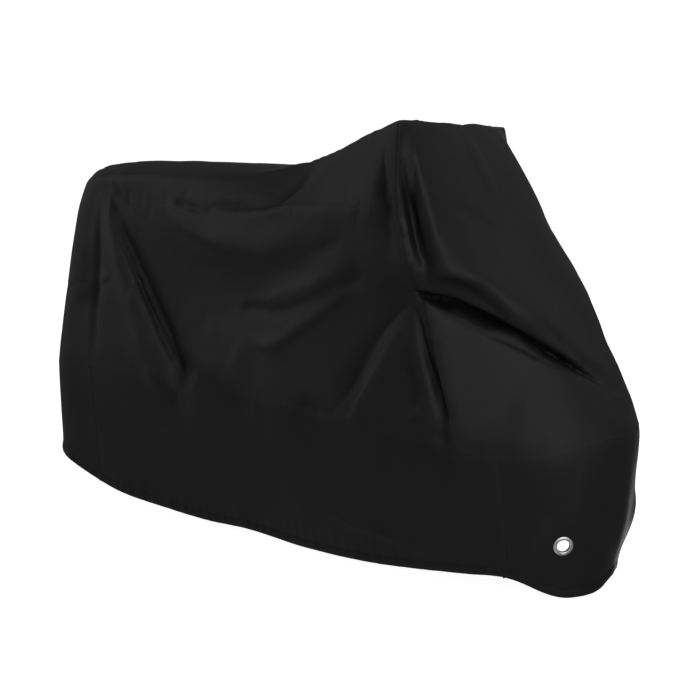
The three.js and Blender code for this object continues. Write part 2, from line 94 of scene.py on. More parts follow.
# Creases and soft folds, a row for each. path is [x, y, z] places on the cover in metres, and there are
# as many millimetres of depth, of reach to the left and of reach to the right of one who walks along the
# path outside. A trough's depth is positive and a ridge's negative. sharp is 1 for a crease and 2 for a
# soft fold.
CREASES = [
    {
        "name": "deep pleat", "sharp": 2,
        "depth": (14, 46, 48, 38, 24, 2), "left": (14, 26, 24, 18, 11, 4), "right": (6, 8, 9, 9, 8, 5),
        "path": [(0.545, -0.282, 0.738), (0.607, -0.241, 0.711), (0.675, -0.211, 0.679),
                 (0.764, -0.167, 0.635), (0.842, -0.105, 0.585), (0.916, -0.025, 0.522)],
    },
    {
        "name": "pleat's upper shoulder", "sharp": 2,
        "depth": (6, 15, 13, 1), "left": (18, 32, 30, 16), "right": (16, 20, 18, 10),
        "path": [(0.586, -0.299, 0.780), (0.649, -0.283, 0.769), (0.701, -0.243, 0.735),
                 (0.751, -0.194, 0.684)],
    },
    {
        "name": "pleat's lip", "sharp": 2,
        "depth": (0, -3, -4, -4, -3, 0), "left": (12, 12, 12, 12, 12, 10), "right": (30, 36, 40, 36, 30, 20),
        "path": [(0.547, -0.280, 0.708), (0.609, -0.245, 0.677), (0.677, -0.213, 0.642),
                 (0.767, -0.170, 0.598), (0.851, -0.120, 0.553), (0.917, -0.047, 0.510)],
    },
    {
        "name": "fold down from the node", "sharp": 1.8,
        "depth": (2, 10, 16, 19, 18, 3), "left": (7, 8, 10, 14, 20, 22), "right": (8, 10, 12, 14, 14, 14),
        "path": [(0.534, -0.283, 0.707), (0.551, -0.285, 0.649), (0.576, -0.290, 0.582),
                 (0.609, -0.297, 0.512), (0.634, -0.307, 0.461), (0.646, -0.311, 0.418)],
    },
    {
        "name": "hollow beside it", "sharp": 2,
        "depth": (1, 8, 10, 2), "left": (14, 22, 26, 24), "right": (18, 28, 32, 28),
        "path": [(0.509, -0.298, 0.613), (0.530, -0.305, 0.549), (0.546, -0.314, 0.486),
                 (0.557, -0.321, 0.443)],
    },
    {
        "name": "fold back from the node", "sharp": 1.9,
        "depth": (2, 8, 10, 9, 1), "left": (10, 12, 13, 13, 12), "right": (14, 20, 24, 22, 18),
        "path": [(0.508, -0.282, 0.714), (0.436, -0.284, 0.650), (0.385, -0.292, 0.568),
                 (0.345, -0.307, 0.488), (0.295, -0.326, 0.419)],
    },
    {
        "name": "ridge beside it", "sharp": 1.9,
        "depth": (-1, -5, -7, -6, -1), "left": (12, 14, 16, 16, 14), "right": (12, 13, 14, 14, 12),
        "path": [(0.495, -0.289, 0.661), (0.459, -0.298, 0.600), (0.429, -0.312, 0.538),
                 (0.388, -0.333, 0.456), (0.351, -0.331, 0.407)],
    },
    {
        "name": "wedge behind the bar end", "sharp": 2,
        "depth": (2, 8, 11, 11, 1), "left": (4, 8, 14, 16, 16), "right": (4, 9, 16, 20, 20),
        "path": [(0.454, -0.307, 1.093), (0.449, -0.305, 1.044), (0.437, -0.288, 0.994),
                 (0.442, -0.291, 0.955), (0.456, -0.288, 0.896)],
    },
    {
        "name": "ridge between the wedges", "sharp": 1.8,
        "depth": (-1, -2, -3, -1), "left": (5, 5, 6, 6), "right": (5, 6, 6, 6),
        "path": [(0.485, -0.325, 1.090), (0.512, -0.328, 1.009), (0.524, -0.315, 0.926),
                 (0.546, -0.319, 0.845)],
    },
    {
        "name": "wedge before the bar end", "sharp": 2,
        "depth": (2, 8, 14, 16, 6), "left": (4, 6, 8, 9, 9), "right": (6, 10, 14, 16, 14),
        "path": [(0.516, -0.325, 1.067), (0.521, -0.315, 1.023), (0.528, -0.303, 0.970),
                 (0.546, -0.299, 0.887), (0.567, -0.301, 0.825)],
    },
    {
        "name": "tail crease", "sharp": 1.6,
        "depth": (2, 8, 13, 17, 12), "left": (12, 26, 38, 52, 56), "right": (5, 6, 7, 8, 8),
        "path": [(-0.696, -0.131, 0.893), (-0.598, -0.148, 0.763), (-0.506, -0.165, 0.636),
                 (-0.419, -0.186, 0.523), (-0.362, -0.198, 0.428)],
    },
    {
        "name": "edge of the tail facet", "sharp": 2,
        "depth": (-1, -6, -9, -11, -7), "left": (9, 11, 12, 13, 13), "right": (18, 22, 26, 28, 26),
        "path": [(-0.710, -0.139, 0.866), (-0.626, -0.158, 0.753), (-0.543, -0.174, 0.628),
                 (-0.461, -0.193, 0.522), (-0.402, -0.205, 0.448)],
    },
    {
        "name": "fullness of the tail facet", "sharp": 2,
        "depth": (-1, -6, -10, -11, -7), "left": (16, 22, 28, 30, 30), "right": (24, 34, 44, 50, 50),
        "path": [(-0.725, -0.138, 0.859), (-0.649, -0.164, 0.746), (-0.580, -0.186, 0.620),
                 (-0.515, -0.205, 0.518), (-0.472, -0.217, 0.447)],
    },
    {
        "name": "hollow at the foot of the tail crease", "sharp": 2,
        "depth": (4, 11, 13, 12, 2), "left": (30, 40, 44, 40, 32), "right": (30, 50, 70, 70, 50),
        "path": [(-0.334, -0.210, 0.462), (-0.254, -0.245, 0.425), (-0.176, -0.264, 0.400),
                 (-0.086, -0.281, 0.389), (0.009, -0.298, 0.385)],
    },
    {
        "name": "small fold at the tail", "sharp": 1.8,
        "depth": (2, 6, 1), "left": (12, 14, 12), "right": (10, 12, 10),
        "path": [(-0.696, -0.121, 0.946), (-0.628, -0.135, 0.897), (-0.535, -0.150, 0.844)],
    },
    {
        "name": "hollow behind the tail facet", "sharp": 2,
        "depth": (3, 11, 13, 2), "left": (20, 22, 22, 20), "right": (16, 18, 18, 16),
        "path": [(-0.753, -0.123, 0.884), (-0.759, -0.139, 0.748), (-0.764, -0.148, 0.596),
                 (-0.748, -0.176, 0.453)],
    },
    {
        "name": "valley before the seat", "sharp": 1.9,
        "depth": (4, 14, 18, 12, 2), "left": (14, 26, 32, 24, 12), "right": (14, 18, 20, 18, 12),
        "path": [(-0.250, -0.165, 0.913), (-0.142, -0.177, 0.919), (-0.019, -0.184, 0.934),
                 (0.021, -0.130, 0.968), (0.030, -0.076, 1.014)],
    },
    {
        "name": "upper swag", "sharp": 2,
        "depth": (-2, -8, -10, -9, -2), "left": (30, 36, 38, 36, 30), "right": (16, 17, 18, 17, 16),
        "path": [(-0.421, -0.158, 0.878), (-0.309, -0.178, 0.831), (-0.159, -0.201, 0.812),
                 (-0.027, -0.217, 0.806), (0.085, -0.232, 0.823)],
    },
    {
        "name": "hollow under the upper swag", "sharp": 2,
        "depth": (1, 3, 4, 4, 1), "left": (30, 34, 36, 34, 30), "right": (40, 50, 52, 50, 40),
        "path": [(-0.450, -0.163, 0.789), (-0.325, -0.179, 0.748), (-0.164, -0.197, 0.728),
                 (0.002, -0.219, 0.735), (0.146, -0.240, 0.778)],
    },
    {
        "name": "middle swag", "sharp": 2,
        "depth": (-1, -8, -8, -1), "left": (26, 30, 30, 24), "right": (15, 16, 16, 15),
        "path": [(0.004, -0.231, 0.655), (0.101, -0.244, 0.692), (0.208, -0.258, 0.742),
                 (0.303, -0.266, 0.797)],
    },
    {
        "name": "hollow over the middle swag", "sharp": 2,
        "depth": (2, 6, 1), "left": (20, 22, 20), "right": (22, 24, 22),
        "path": [(0.152, -0.238, 0.815), (0.220, -0.248, 0.834), (0.288, -0.259, 0.860)],
    },
    {
        "name": "hollow under the middle swag", "sharp": 2,
        "depth": (6, 5, 1), "left": (16, 16, 16), "right": (18, 20, 18),
        "path": [(-0.083, -0.218, 0.645), (0.023, -0.236, 0.649), (0.167, -0.258, 0.681)],
    },
    {
        "name": "lower swag", "sharp": 1.9,
        "depth": (-1, -6, -6, -5, -1), "left": (18, 20, 20, 20, 16), "right": (12, 13, 13, 13, 12),
        "path": [(-0.043, -0.252, 0.570), (0.033, -0.274, 0.554), (0.109, -0.272, 0.594),
                 (0.198, -0.267, 0.653), (0.300, -0.266, 0.730)],
    },
    {
        "name": "dimple under the seam", "sharp": 2,
        "depth": (5, 8, 3), "left": (14, 14, 14), "right": (12, 13, 12),
        "path": [(-0.402, -0.152, 0.910), (-0.338, -0.161, 0.902), (-0.271, -0.172, 0.890)],
    },
    {
        "name": "dimple before the swags", "sharp": 2,
        "depth": (5, 4), "left": (20, 18), "right": (20, 18),
        "path": [(0.300, -0.265, 0.748), (0.341, -0.269, 0.765)],
    },
    {
        "name": "dimple above the band", "sharp": 2,
        "depth": (5, 4), "left": (20, 18), "right": (20, 18),
        "path": [(0.212, -0.322, 0.426), (0.249, -0.327, 0.416)],
    },
    {
        "name": "wrinkle by the fold", "sharp": 1.8,
        "depth": (-1, -3, -1), "left": (6, 7, 6), "right": (6, 7, 6),
        "path": [(0.530, -0.326, 0.428), (0.557, -0.320, 0.448), (0.586, -0.318, 0.437)],
    },
    {
        "name": "soft crease on the front", "sharp": 2,
        "depth": (1, 3, 3, 1), "left": (12, 14, 14, 12), "right": (12, 14, 14, 12),
        "path": [(0.590, -0.213, 0.962), (0.604, -0.163, 0.937), (0.617, -0.101, 0.913),
                 (0.645, -0.064, 0.872)],
    },
    {
        "name": "crease in the skirt", "sharp": 1.6,
        "depth": (0, -3, -3, 0), "left": (8, 10, 10, 8), "right": (8, 10, 10, 8),
        "path": [(0.240, -0.292, 0.133), (0.337, -0.296, 0.121), (0.480, -0.293, 0.104),
                 (0.609, -0.277, 0.072)],
    },
]
CREASE_STEPS = 24  # places on each path, once it is a smooth curve
PATH_ROUNDS = 3  # how often the path is evened out once it lies on the cloth
FOLD_END = 2.6  # a fold ends this many times its reach from its path

# The hem is a channel with elastic in it, which gathers the cloth. The gathers fade over the height and
# end at a few times that height from the hem, and highest is that limit over the hem's highest point.
# They also lift the cloth by a share of their size, which fades over the height lifted.
HEM = {
    "channel": 0.022, "bulge": 0.0016, "groove": 0.0009, "groove_width": 0.004,
    "gather": 0.0013, "height": 0.045, "fade": 1.3, "end": 4, "highest": 3, "lift": 0.6, "lifted": 0.03,
}
GATHER = {"drift": 0.35, "swell": 0.22, "mean": 0.6}  # over how much hem they shift and grow, and their mean
GATHERS = [  # waves along the hem, from long to short
    {"length": 0.140, "share": 0.9},
    {"length": 0.062, "share": 1.0},
    {"length": 0.034, "share": 0.7},
]
UNEVEN = [  # all over the cloth
    {"size": 0.30, "height": 0.0022},
    {"size": 0.11, "height": 0.0009},
    {"size": 0.045, "height": 0.0003},
]
PUCKERS = {
    "spacing": 0.043, "length": 0.050, "depth": 0.0019, "reach": 0.010,
    "low": 0.3,  # the share of their depth that they have at the lower band's seams
    "starts": (0.3, 1), "gaps": (0.5, 1.7), "lengths": (0.5, 1.5), "depths": (0.3, 1.4), "slant": 0.5,
    "deepest": 0.3, "fade": 0.6, "end": 1.5,  # from the seam, as shares of the length
}

# Stitches, in a row on each side of a seam's lap and above the hem's channel
STITCH = {"pitch": 0.0055, "length": 0.0040, "radius": 0.00045, "insets": (0.003, 0.009), "look": 0.001}
# look is how far outside the cloth a stitch's place on it is sought from

# Profiles of the eyelet's outer half and of its washer, as loops of [radius, height] in millimetres
EYELET = [
    (16.0, -5.6), (16.5, -5.95), (17.6, -6.0), (18.6, -5.8), (19.0, -5.3), (18.8, -4.8), (17.7, -4.7),
    (17.2, -4.4), (17.2, 0.1), (17.4, 0.3), (24.8, 0.3), (25.0, 0.5), (24.95, 0.8), (24.5, 1.3),
    (23.4, 1.95), (22.0, 2.5), (20.6, 2.75), (19.2, 2.8), (17.9, 2.6), (16.9, 2.15), (16.25, 1.5),
    (16.0, 0.7),
]
WASHER = [
    (17.5, -4.4), (22.3, -4.4), (23.0, -4.2), (23.4, -3.7), (23.5, -3.1), (23.4, -2.8), (19.0, -2.8),
    (17.7, -2.85), (17.5, -3.1),
]
RING_STEPS = 96
RING_ANGLE = 50  # degrees between faces that are not shaded as one

PAINTED_SHADE_HEIGHT = 0.018  # a ridge this high gets the palest painted highlight, and a trough this deep the darkest painted shade
WEAVE = {"pitch": 0.0011, "height": 0.0001, "strength": 0.35}
MOST_NOISE = (0.3, 0.7)  # most of a noise texture's values are between these
CLOTH_LOOK = {  # the fold shade, patches, streaks, grain and edges are shares of the colour, at the least and most. The fold shade and the edges are painted shade in troughs and hollows and painted highlight on ridges
    "colour": (0.0130, 0.0130, 0.0132), "roughness": (0.48, 0.62), "gloss": 0.2,
    "sheen": 0.02, "sheen_roughness": 0.4,
    # painted shade in the folds' troughs and painted highlight on their ridges, by how far the folds move the
    # cloth
    "painted_fold_shade": (0.35, 1.65), "patches": (0.85, 1.15), "streaks": (0.92, 1.08), "grain": (0.9, 1.1),
    # edges is painted shade in hollows and painted highlight on ridges, from the mesh's pointiness
    "edges": (0.8, 1.25), "pointiness": (0.47, 0.55),
}
THREAD_LOOK = {"colour": (0.011, 0.011, 0.012), "twist": (0.7, 1.2), "roughness": 0.75, "gloss": 0.15}
STEEL_LOOK = {"colour": (0.86, 0.86, 0.84), "smears": (0.86, 1.04), "roughness": (0.34, 0.5)}

STAGE = {
    "radius": 40, "floor": 1.08, "dome": 1.15, "world": 0.148,
    "below": 0.01,  # how far the floor is under the hem
    "middle": (0, 0, 0.6), "lights": 5,  # the lights' distance from the middle
}
LIGHTS = [  # name, azimuth and elevation in degrees, size in metres, power in watts
    ("front high", 60, 35, 3, 52),
    ("front low", 60, 8, 3, 37),
    ("right high", 20, 35, 3, 19),
    ("right rear high", -60, 35, 3, 24),
    ("right rear low", -75, 10, 3, 12),
    ("left high", 140, 35, 3, 12),
    ("left rear", -150, 12, 3, 14),
    ("from the floor", 20, -50, 3, 12),
    ("from the floor behind", -60, -50, 3, 9),
    ("from the floor on the left", 185, -35, 3, 48),
]

# The photograph's camera
SENSOR = 36  # millimetres
CAMERA = {
    "azimuth": 38, "elevation": 10, "distance": 4.47, "target": (0.1048, 0.0007, 0.5153),
    "focal": 1600 / 700,  # of the picture's width
}


# Meshes as arrays: points, four-sided faces, and the number of the piece that each belongs to
def unit(vectors):
    return vectors / np.maximum(np.linalg.norm(vectors, axis=-1, keepdims=True), 1e-12)


def point_normals(points, quads):
    a, b, c, d = (points[quads[:, k]] for k in range(4))
    face = np.cross(c - a, d - b)
    total = np.zeros_like(points)
    for k in range(4):
        for axis in range(3):
            total[:, axis] += np.bincount(quads[:, k], face[:, axis], len(points))
    return unit(total)


def read_points(mesh):
    flat = np.empty(3 * len(mesh.vertices), np.float32)
    mesh.vertices.foreach_get("co", flat)
    return flat.reshape(-1, 3).astype(float)


def mesh_of(name, points, faces):
    """A mesh from arrays, with faces that all have the same number of corners."""
    count, corners = faces.shape
    mesh = bpy.data.meshes.new(name)
    mesh.vertices.add(len(points))
    mesh.vertices.foreach_set("co", points.astype(np.float32).ravel())
    mesh.loops.add(count * corners)
    mesh.loops.foreach_set("vertex_index", faces.astype(np.int32).ravel())
    mesh.polygons.add(count)
    mesh.polygons.foreach_set("loop_start", np.arange(count, dtype=np.int32) * corners)
    mesh.update(calc_edges=True)
    mesh.validate()
    return mesh


def border_edges(faces):
    edges = np.concatenate([faces[:, [k, (k + 1) % 4]] for k in range(4)])
    key = np.sort(edges, 1)
    _, first, count = np.unique(key, axis=0, return_index=True, return_counts=True)
    return edges[first[count == 1]]


def object_of(name, mesh):
    thing = bpy.data.objects.new(name, mesh)
    bpy.context.scene.collection.objects.link(thing)
    return thing


def finish_piece(piece, node, material, angle=SHARP_ANGLE):
    """Shades a new piece smoothly, and sets it on the cover in the place of a node, if it has one."""
    mesh = piece.data
    mesh.materials.clear()
    mesh.materials.append(material)
    mesh.polygons.foreach_set("use_smooth", np.ones(len(mesh.polygons), bool))
    mesh.set_sharp_from_angle(angle=math.radians(angle))
    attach(piece, "root")
    if node:
        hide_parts(node)


def applied(thing):
    """The mesh of an object with its modifiers applied."""
    graph = bpy.context.evaluated_depsgraph_get()
    return bpy.data.meshes.new_from_object(thing.evaluated_get(graph))


# The skin: the outer side of the cloth solids, as one sheet
def ring_axis(node):
    """The middle of a ring, and the way out of the cover along its axis."""
    places = read_points(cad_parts[node].data)
    centre = places.mean(0)
    axis = np.linalg.svd(places - centre, full_matrices=False)[2][2]
    outward = centre - np.array(MIDDLE)
    return centre, axis if axis @ outward > 0 else -axis


def in_a_hole(face):
    """Whether a face is a part of the wall of a hole for an eyelet."""
    for centre, axis in RINGS.values():
        offset = np.array(face.calc_center_median()) - centre
        along = offset @ axis
        if abs(along) < HOLE["reach"] and np.linalg.norm(offset - along * axis) < HOLE["radius"]:
            return True
    return False


def is_rim(face):
    return any(abs(edge.calc_length() - SOLID) < RIM_PLAY for edge in face.edges)


def keep_outer_side(shell):
    """Removes a solid's rims and its inner side, whose faces point to the middle of the cover."""
    rims = [face for face in shell.faces if is_rim(face) or in_a_hole(face)]
    bmesh.ops.delete(shell, geom=rims, context="FACES")
    unseen = set(shell.faces)
    while unseen:
        island = [unseen.pop()]
        for face in island:
            near = {f for e in face.edges for f in e.link_faces} & unseen
            unseen -= near
            island.extend(near)
        outward = sum(f.calc_area() * f.normal.dot(f.calc_center_median() - MIDDLE) for f in island)
        if outward < 0:
            bmesh.ops.delete(shell, geom=island, context="FACES")


def skin_mesh():
    """The outer sides of the cloth solids, joined at their seams. A face's material is its piece."""
    whole = bmesh.new()
    for index, name in enumerate(CUTS):
        shell = bmesh.new()
        shell.from_mesh(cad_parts[name].data)
        bmesh.ops.remove_doubles(shell, verts=shell.verts, dist=SAME_POINT)
        keep_outer_side(shell)
        for face in shell.faces:
            face.material_index = index
        side = bpy.data.meshes.new(name)
        shell.to_mesh(side)
        whole.from_mesh(side)
        bpy.data.meshes.remove(side)
        shell.free()
    loose = [v for v in whole.verts if not v.link_faces]
    bmesh.ops.delete(whole, geom=loose, context="VERTS")
    bmesh.ops.remove_doubles(whole, verts=whole.verts, dist=SEAM_GAP)
    bmesh.ops.join_triangles(
        whole, faces=whole.faces, cmp_materials=True,
        angle_face_threshold=math.radians(JOIN_ANGLE), angle_shape_threshold=math.radians(JOIN_ANGLE),
    )
    crease = whole.edges.layers.float.new("crease_edge")
    for edge in whole.edges:
        high = min(v.co.z for v in edge.verts) > BAR_EDGE["height"]
        inside = len(edge.link_faces) == 2
        if high and inside and edge.calc_face_angle() > math.radians(BAR_EDGE["angle"]):
            edge[crease] = BAR_EDGE["crease"]
    mesh = bpy.data.meshes.new("skin")
    whole.to_mesh(mesh)
    whole.free()
    for _ in CUTS:
        mesh.materials.append(None)
    return mesh


def faired(points, quads, fixed, most, rounds):
    """Evens out the points, but none by more than most, and the fixed ones not at all."""
    pairs = np.concatenate([quads[:, [k, (k + 1) % 4]] for k in range(4)])
    pairs = np.unique(np.sort(pairs, 1), axis=0)
    count = np.bincount(pairs.ravel(), minlength=len(points))
    moved = points.copy()
    for _ in range(rounds):
        total = np.zeros_like(points)
        for axis in range(3):
            for one, other in ((0, 1), (1, 0)):
                total[:, axis] += np.bincount(pairs[:, one], moved[pairs[:, other], axis], len(points))
        step = total / np.maximum(count, 1)[:, None] - moved
        shift = moved + 0.5 * step - points
        length = np.linalg.norm(shift, axis=1, keepdims=True)
        shift *= np.minimum(1, most / np.maximum(length, 1e-12))
        shift[fixed] = 0
        moved = points + shift
    return moved


def smooth_skin(mesh):
    """Subdivides the skin so that it passes through the solids' points, once these are evened out."""
    target = read_points(mesh)
    corners = [list(face.vertices) + [face.vertices[0]] * (4 - len(face.vertices)) for face in mesh.polygons]
    corners = np.array(corners)
    fixed = np.union1d(border_edges(corners), np.nonzero(target[:, 2] > FAIR_TOP)[0])
    target = faired(target, corners, fixed, **FAIR)
    moved = target.copy()
    skin = object_of("skin", mesh)
    smooth = skin.modifiers.new("smooth", "SUBSURF")
    smooth.levels = 1
    for _ in range(FIT["rounds"]):
        reached = read_points(applied(skin))[: len(target)]
        moved += FIT["share"] * (target - reached)
        mesh.vertices.foreach_set("co", moved.astype(np.float32).ravel())
        mesh.update()
    smooth.levels = SMOOTH
    fine = applied(skin)
    points = read_points(fine)
    quads = np.empty(4 * len(fine.polygons), np.int32)
    fine.polygons.foreach_get("vertices", quads)
    owner = np.empty(len(fine.polygons), np.int32)
    fine.polygons.foreach_get("material_index", owner)
    bpy.data.objects.remove(skin)
    return points, quads.reshape(-1, 4), owner


def raised_at_the_bars(points):
    share = np.interp(points[:, 2], BAR_LIFT["heights"], (0, 1))
    raised = points.copy()
    raised[:, 2] += share * np.interp(points[:, 1], BAR_LIFT["y"], BAR_LIFT["lift"])
    return raised


# Folds
def smooth_path(places, steps):
    """A smooth curve through a few places, as that many points, with each one's place on the list."""
    padded = np.array([places[0], *places, places[-1]], float)
    at = np.linspace(0, len(places) - 1, steps)
    curve = []
    for value in at:
        index = min(int(value), len(places) - 2)
        t = value - index
        p0, p1, p2, p3 = padded[index : index + 4]
        curve.append(0.5 * (2 * p1 + (p2 - p0) * t + (2 * p0 - 5 * p1 + 4 * p2 - p3) * t**2
                            + (3 * p1 - p0 - 3 * p2 + p3) * t**3))
    return np.array(curve), at


def place_by_path(points, normals, path):
    """For each point: how far it is from the path, where along it, and whether it is to its left."""
    nearest = np.full(len(points), np.inf)
    along = np.zeros(len(points))
    left = np.zeros(len(points), bool)
    for index, (start, end) in enumerate(zip(path[:-1], path[1:])):
        step = end - start
        offset = points - start
        t = np.clip(offset @ step / max(step @ step, 1e-12), 0, 1)
        away = offset - t[:, None] * step
        distance = np.linalg.norm(away, axis=1)
        closer = distance < nearest
        nearest = np.where(closer, distance, nearest)
        along = np.where(closer, index + t, along)
        leftward = (np.cross(normals, step) * away).sum(1) > 0
        left = np.where(closer, leftward, left)
    return nearest, along, left


def crease_shift(row, points, normals):
    """How far one fold moves each point inward."""
    path, at = smooth_path(row["path"], CREASE_STEPS)
    path = np.array([points[np.argmin(((points - p) ** 2).sum(1))] for p in path])
    for _ in range(PATH_ROUNDS):
        path[1:-1] = (path[:-2] + 2 * path[1:-1] + path[2:]) / 4
    reach = 0.001 * FOLD_END * max(row["left"] + row["right"])
    low, high = path.min(0) - reach, path.max(0) + reach
    near = np.nonzero(((points > low) & (points < high)).all(1))[0]
    distance, along, left = place_by_path(points[near], normals[near], path)
    along = np.interp(along, range(CREASE_STEPS), at)
    depth, left_reach, right_reach = (
        0.001 * np.interp(along, range(len(row[key])), row[key]) for key in ("depth", "left", "right")
    )
    width = np.where(left, left_reach, right_reach)
    shift = np.zeros(len(points))
    shift[near] = depth * np.exp(-((distance / width) ** row["sharp"]))
    return shift


def add_creases(points, quads):
    """The points with the folds, and their painted shade: paler on ridges as a painted highlight, darker in
    troughs as a painted shade.
    """
    normals = point_normals(points, quads)
    shift = sum(crease_shift(row, points, normals) for row in CREASES)
    # painted shade in troughs and painted highlight on ridges, from how far the folds move each point
    return points - shift[:, None] * normals, np.clip(-shift / PAINTED_SHADE_HEIGHT, -1, 1)


def noise_at(points, size, channel=0):
    offset = Vector((17.3 * channel + SEED, 5.1 * channel, 9.7 * channel))
    return np.array([noise.noise(Vector(p) / size + offset) for p in points])


def add_unevenness(points, quads):
    normals = point_normals(points, quads)
    shift = sum(row["height"] * noise_at(points, row["size"], k) for k, row in enumerate(UNEVEN))
    return points + shift[:, None] * normals


# Edges: each edge with its faces, for the seams and the open hem
def edge_table(quads, owner):
    edges = np.concatenate([quads[:, [k, (k + 1) % 4]] for k in range(4)])
    faces = np.tile(np.arange(len(quads)), 4)
    key = np.sort(edges, 1)
    order = np.lexsort((key[:, 1], key[:, 0]))
    key, faces, edges = key[order], faces[order], edges[order]
    pair = (key[1:] == key[:-1]).all(1)
    first = np.nonzero(pair)[0]
    seam = first[owner[faces[first]] != owner[faces[first + 1]]]
    single = np.ones(len(key), bool)
    single[first] = False
    single[first + 1] = False
    seams = [(tuple(edges[i]), owner[faces[i]], owner[faces[i + 1]]) for i in seam]
    return seams, edges[single]


def chains(edges):
    """Joins edges into lines of point numbers."""
    links = {}
    for a, b in edges:
        links.setdefault(int(a), []).append(int(b))
        links.setdefault(int(b), []).append(int(a))
    ends = [p for p, near in links.items() if len(near) != 2]
    lines = []
    used = set()
    for start in ends + list(links):
        for following in links[start]:
            if (start, following) in used:
                continue
            line = [start, following]
            used |= {(start, following), (following, start)}
            while len(links[line[-1]]) == 2 and line[-1] != start:
                a, b = links[line[-1]]
                onward = a if b == line[-2] else b
                if (line[-1], onward) in used:
                    break
                used |= {(line[-1], onward), (onward, line[-1])}
                line.append(onward)
            lines.append(line)
    return lines


def seam_lines(seams, points):
    """The seams between two pieces, each as a line of points with the numbers of its pieces."""
    by_pair = {}
    for edge, one, other in seams:
        by_pair.setdefault((min(one, other), max(one, other)), []).append(edge)
    lines = []
    for (under, over), edges in by_pair.items():
        lines += [{"under": under, "over": over, "line": line} for line in chains(edges)]
    return lines


def arc_lengths(places):
    return np.concatenate([[0], np.cumsum(np.linalg.norm(np.diff(places, axis=0), axis=1))])


# Gathers at the hem and puckers at the seams
def tree_of(places):
    tree = KDTree(len(places))
    for index, place in enumerate(places):
        tree.insert(place, index)
    tree.balance()
    return tree


def wave(lengths):
    """An uneven wave along a line."""
    total = np.zeros(len(lengths))
    for row, kind in enumerate(GATHERS):
        drift = [noise.noise(Vector((s / GATHER["drift"], 3.1 * row, SEED))) for s in lengths]
        swell = [noise.noise(Vector((s / GATHER["swell"], 7.7 * row, -SEED))) for s in lengths]
        turns = 2 * math.pi * (lengths / kind["length"] + np.array(drift))
        total += kind["share"] * (GATHER["mean"] + np.array(swell)) * np.sin(turns)
    return total


def add_hem(points, quads, hem):
    """Gathers the cloth towards the hem, and bulges the channel for its elastic."""
    normals = point_normals(points, quads)
    places = points[hem]
    lengths = arc_lengths(places)
    rise = wave(lengths)
    tree = tree_of(places)
    moved = points.copy()
    top = places[:, 2].max() + HEM["highest"] * HEM["height"]
    for index in np.nonzero(points[:, 2] < top)[0]:
        _, nearest, height = tree.find(points[index])
        if height > HEM["end"] * HEM["height"]:
            continue
        fade = math.exp(-((height / HEM["height"]) ** HEM["fade"]))
        shift = HEM["gather"] * rise[nearest] * fade
        shift += HEM["bulge"] * math.exp(-((height / HEM["channel"]) ** 4))
        shift -= HEM["groove"] * math.exp(-(((height - HEM["channel"]) / HEM["groove_width"]) ** 2))
        lift = HEM["lift"] * HEM["gather"] * rise[nearest]
        moved[index] += shift * normals[index]
        moved[index, 2] += lift * math.exp(-((height / HEM["lifted"]) ** 2))
    return moved


def add_puckers(points, quads, lines):
    """Small troughs that run out from the seams, uneven in place, length and depth."""
    normals = point_normals(points, quads)
    tree = tree_of(points)
    rng = np.random.default_rng(SEED)
    shift = np.zeros(len(points))
    for row in lines:
        places = points[row["line"]]
        lengths = arc_lengths(places)
        at = PUCKERS["spacing"] * rng.uniform(*PUCKERS["starts"])
        while at < lengths[-1]:
            index = min(np.searchsorted(lengths, at), len(places) - 2)
            along = places[index + 1] - places[index]
            normal = normals[row["line"][index]]
            side = rng.choice([-1, 1])
            slant = rng.uniform(-PUCKERS["slant"], PUCKERS["slant"])
            out = unit(side * np.cross(normal, along) + slant * along)
            length = PUCKERS["length"] * rng.uniform(*PUCKERS["lengths"])
            depth = PUCKERS["depth"] * rng.uniform(*PUCKERS["depths"])
            if list(CUTS)[row["under"]].startswith("skirt"):
                depth *= PUCKERS["low"]
            for place, near, _ in tree.find_range(places[index], PUCKERS["end"] * length):
                offset = np.array(place) - places[index]
                far = offset @ out
                across = np.linalg.norm(offset - far * out)
                fade = math.exp(-(((far / length - PUCKERS["deepest"]) / PUCKERS["fade"]) ** 2))
                shift[near] += depth * fade * math.exp(-((across / PUCKERS["reach"]) ** 2))
            at += PUCKERS["spacing"] * rng.uniform(*PUCKERS["gaps"])
    return points - shift[:, None] * normals


# The cloth pieces
def piece_arrays(skin, index):
    """The points, normals and faces of one piece, with its points' numbers on the skin."""
    own = skin["quads"][skin["owner"] == index]
    numbers, faces = np.unique(own, return_inverse=True)
    return skin["points"][numbers].copy(), skin["normals"][numbers], faces.reshape(-1, 4), numbers


def outward_of(points, normals, faces):
    """For each point, the way out of the piece along its surface, which counts on its border."""
    centres = points[faces].mean(1)
    total = np.zeros_like(points)
    for k in range(4):
        for axis in range(3):
            total[:, axis] += np.bincount(faces[:, k], centres[:, axis], len(points))
    count = np.bincount(faces.ravel(), minlength=len(points))
    out = points - total / count[:, None]
    out -= (out * normals).sum(1)[:, None] * normals
    return unit(out)


def lap_over(points, normals, out, faces, highest, lowest, index):
    """Draws a piece's border over its lower neighbours, and under its higher ones."""
    border = np.unique(border_edges(faces))
    over = border[(highest[border] == index) & (lowest[border] < index)]
    under = border[highest[border] > index]
    points[over] += LAP * out[over] + LAP_RISE * normals[over]
    points[under] -= LAP_SINK * normals[under]


